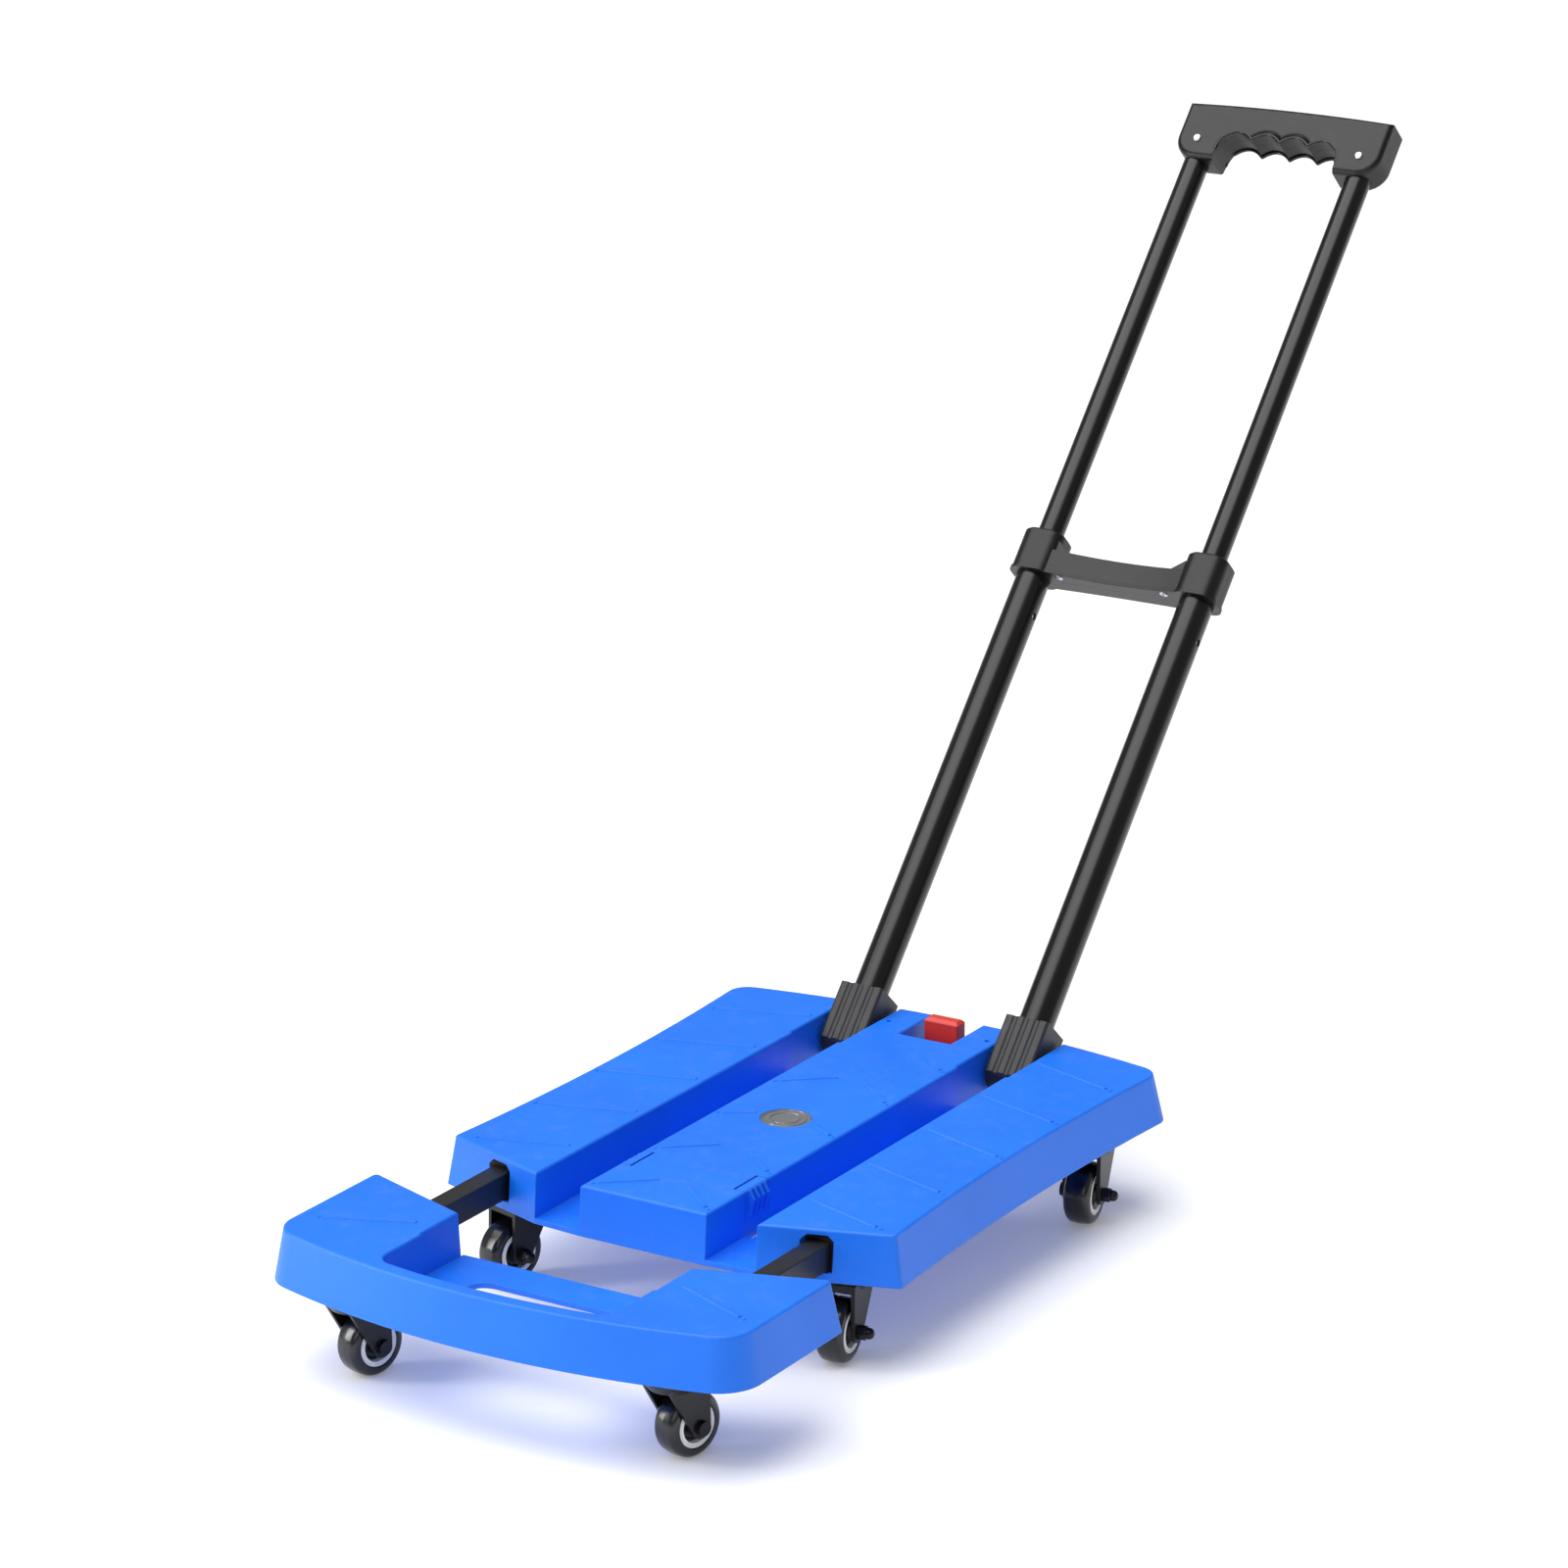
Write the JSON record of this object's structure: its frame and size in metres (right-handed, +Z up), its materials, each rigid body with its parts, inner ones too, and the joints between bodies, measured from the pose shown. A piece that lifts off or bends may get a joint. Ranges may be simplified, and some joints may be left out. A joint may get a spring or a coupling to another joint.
{
  "type": "folding platform cart",
  "caption": "Low folding platform cart with a pull-out front section, swivel casters and a telescoping fold-down handle with a moulded grip.",
  "frame": {"origin": "on the floor, under the middle of the whole cart as it stands with the extension out and the handle up", "axes": "+Y towards the handle, -Y towards the extension, +X to the right when looking from the extension towards the handle, +Z up"},
  "size_m": [0.4132, 1.2604, 0.7582],
  "materials": {
    "blue_plastic": "fine spark texture",
    "red_plastic": "satin",
    "black_plastic": "satin",
    "guide_plastic": "plain",
    "collar_plastic": "satin",
    "black_paint": "gloss powder coat",
    "tube_paint": "matt powder coat",
    "black_zinc": "black zinc plate",
    "steel": "bright zinc plate",
    "hub_plastic": "gloss",
    "tyre_rubber": "smooth",
    "badge_metal": "satin"
  },
  "bodies": {
    "deck": {"main_deck": "blue_plastic", "slide_guides": "guide_plastic", "deck_badge": "badge_metal", "hinge_pins": "steel", "main_caster_plates": "tube_paint", "main_caster_screws": "black_zinc", "latch_spring": "steel"},
    "latch": {"latch_button": "red_plastic", "lock_bar": "steel"},
    "extension": {"extension_panel": "blue_plastic", "slide_tube_left": "tube_paint", "slide_tube_right": "tube_paint", "tube_stops": "guide_plastic", "tube_screws": "black_zinc", "extension_caster_plates": "tube_paint", "extension_caster_screws": "black_zinc"},
    "handle_lower": {"pole_collar_left": "collar_plastic", "pole_collar_right": "collar_plastic", "outer_pole_left": "black_paint", "outer_pole_right": "black_paint", "brace_front": "black_plastic", "brace_back": "black_plastic", "brace_screws": "steel", "pole_bushes": "guide_plastic"},
    "handle_upper": {"inner_pole_left": "black_paint", "inner_pole_right": "black_paint", "pole_feet": "guide_plastic", "grip_front": "black_plastic", "grip_back": "black_plastic", "grip_screws": "steel", "grip_spring": "steel"},
    "grip_release": {"grip_button": "red_plastic", "release_rods": "steel"},
    "detents": {"detent_pins": "steel"},
    "fork_front_left": {"fork_front_left": "black_plastic", "axle_front_left": "black_zinc"},
    "wheel_front_left": {"hub_front_left": "hub_plastic", "tyre_front_left": "tyre_rubber"},
    "fork_front_right": {"fork_front_right": "black_plastic", "axle_front_right": "black_zinc"},
    "wheel_front_right": {"hub_front_right": "hub_plastic", "tyre_front_right": "tyre_rubber"},
    "fork_mid_left": {"fork_mid_left": "black_plastic", "axle_mid_left": "black_zinc"},
    "wheel_mid_left": {"hub_mid_left": "hub_plastic", "tyre_mid_left": "tyre_rubber"},
    "fork_mid_right": {"fork_mid_right": "black_plastic", "axle_mid_right": "black_zinc"},
    "wheel_mid_right": {"hub_mid_right": "hub_plastic", "tyre_mid_right": "tyre_rubber"},
    "fork_rear_left": {"fork_rear_left": "black_plastic", "axle_rear_left": "black_zinc"},
    "wheel_rear_left": {"hub_rear_left": "hub_plastic", "tyre_rear_left": "tyre_rubber"},
    "fork_rear_right": {"fork_rear_right": "black_plastic", "axle_rear_right": "black_zinc"},
    "wheel_rear_right": {"hub_rear_right": "hub_plastic", "tyre_rear_right": "tyre_rubber"}
  },
  "joints": [
    {"name": "latch_press", "type": "slide", "parent": "deck", "child": "latch", "axis": [0, 0, -1], "range_m": [0, 0.005], "stiffness_N_per_m": 700, "springref_m": -0.002, "deforming": ["latch_spring"]},
    {"name": "extension_slide", "type": "slide", "parent": "deck", "child": "extension", "axis": [0, -1, 0], "range_m": [-0.082, 0]},
    {"name": "handle_fold", "type": "hinge", "parent": "deck", "child": "handle_lower", "pos_m": [0, 0.01838, 0.09], "axis": [-1, 0, 0], "range_deg": [-129.2, 0]},
    {"name": "pole_telescope", "type": "slide", "parent": "handle_lower", "child": "handle_upper", "axis": [0, 0.6743, 0.7385], "range_m": [-0.366, 0]},
    {"name": "grip_button_press", "type": "slide", "parent": "handle_upper", "child": "grip_release", "axis": [0, -0.6743, -0.7385], "range_m": [0, 0.0022], "stiffness_N_per_m": 1200, "springref_m": -0.003, "deforming": ["grip_spring"]},
    {"name": "detent_retract", "type": "slide", "parent": "handle_upper", "child": "detents", "axis": [-1, 0, 0], "range_m": [0, 0.002]},
    {"name": "swivel_front_left", "type": "hinge", "parent": "extension", "child": "fork_front_left", "pos_m": [-0.138, -0.57962, 0.07], "axis": [0, 0, 1], "continuous": true},
    {"name": "roll_front_left", "type": "hinge", "parent": "fork_front_left", "child": "wheel_front_left", "pos_m": [-0.13461, -0.56604, 0.025], "axis": [-0.9703, 0.2419, 0], "continuous": true},
    {"name": "swivel_front_right", "type": "hinge", "parent": "extension", "child": "fork_front_right", "pos_m": [0.138, -0.57962, 0.07], "axis": [0, 0, 1], "continuous": true},
    {"name": "roll_front_right", "type": "hinge", "parent": "fork_front_right", "child": "wheel_front_right", "pos_m": [0.14139, -0.56604, 0.025], "axis": [-0.9703, 0.2419, 0], "continuous": true},
    {"name": "swivel_mid_left", "type": "hinge", "parent": "deck", "child": "fork_mid_left", "pos_m": [-0.144, -0.35262, 0.07], "axis": [0, 0, 1], "continuous": true},
    {"name": "roll_mid_left", "type": "hinge", "parent": "fork_mid_left", "child": "wheel_mid_left", "pos_m": [-0.14762, -0.36614, 0.025], "axis": [0.9659, -0.2588, 0], "continuous": true},
    {"name": "swivel_mid_right", "type": "hinge", "parent": "deck", "child": "fork_mid_right", "pos_m": [0.144, -0.35262, 0.07], "axis": [0, 0, 1], "continuous": true},
    {"name": "roll_mid_right", "type": "hinge", "parent": "fork_mid_right", "child": "wheel_mid_right", "pos_m": [0.14595, -0.36648, 0.025], "axis": [0.9903, 0.1392, 0], "continuous": true},
    {"name": "swivel_rear_left", "type": "hinge", "parent": "deck", "child": "fork_rear_left", "pos_m": [-0.164, -0.01862, 0.07], "axis": [0, 0, 1], "continuous": true},
    {"name": "roll_rear_left", "type": "hinge", "parent": "fork_rear_left", "child": "wheel_rear_left", "pos_m": [-0.16546, -0.03254, 0.025], "axis": [0.9945, -0.1045, 0], "continuous": true},
    {"name": "swivel_rear_right", "type": "hinge", "parent": "deck", "child": "fork_rear_right", "pos_m": [0.164, -0.01862, 0.07], "axis": [0, 0, 1], "continuous": true},
    {"name": "roll_rear_right", "type": "hinge", "parent": "fork_rear_right", "child": "wheel_rear_right", "pos_m": [0.16643, -0.03241, 0.025], "axis": [0.9848, 0.1736, 0], "continuous": true}
  ],
  "couplings": [
    {"joint": "detent_retract", "follows": "grip_button_press", "ratio": 0.9}
  ]
}
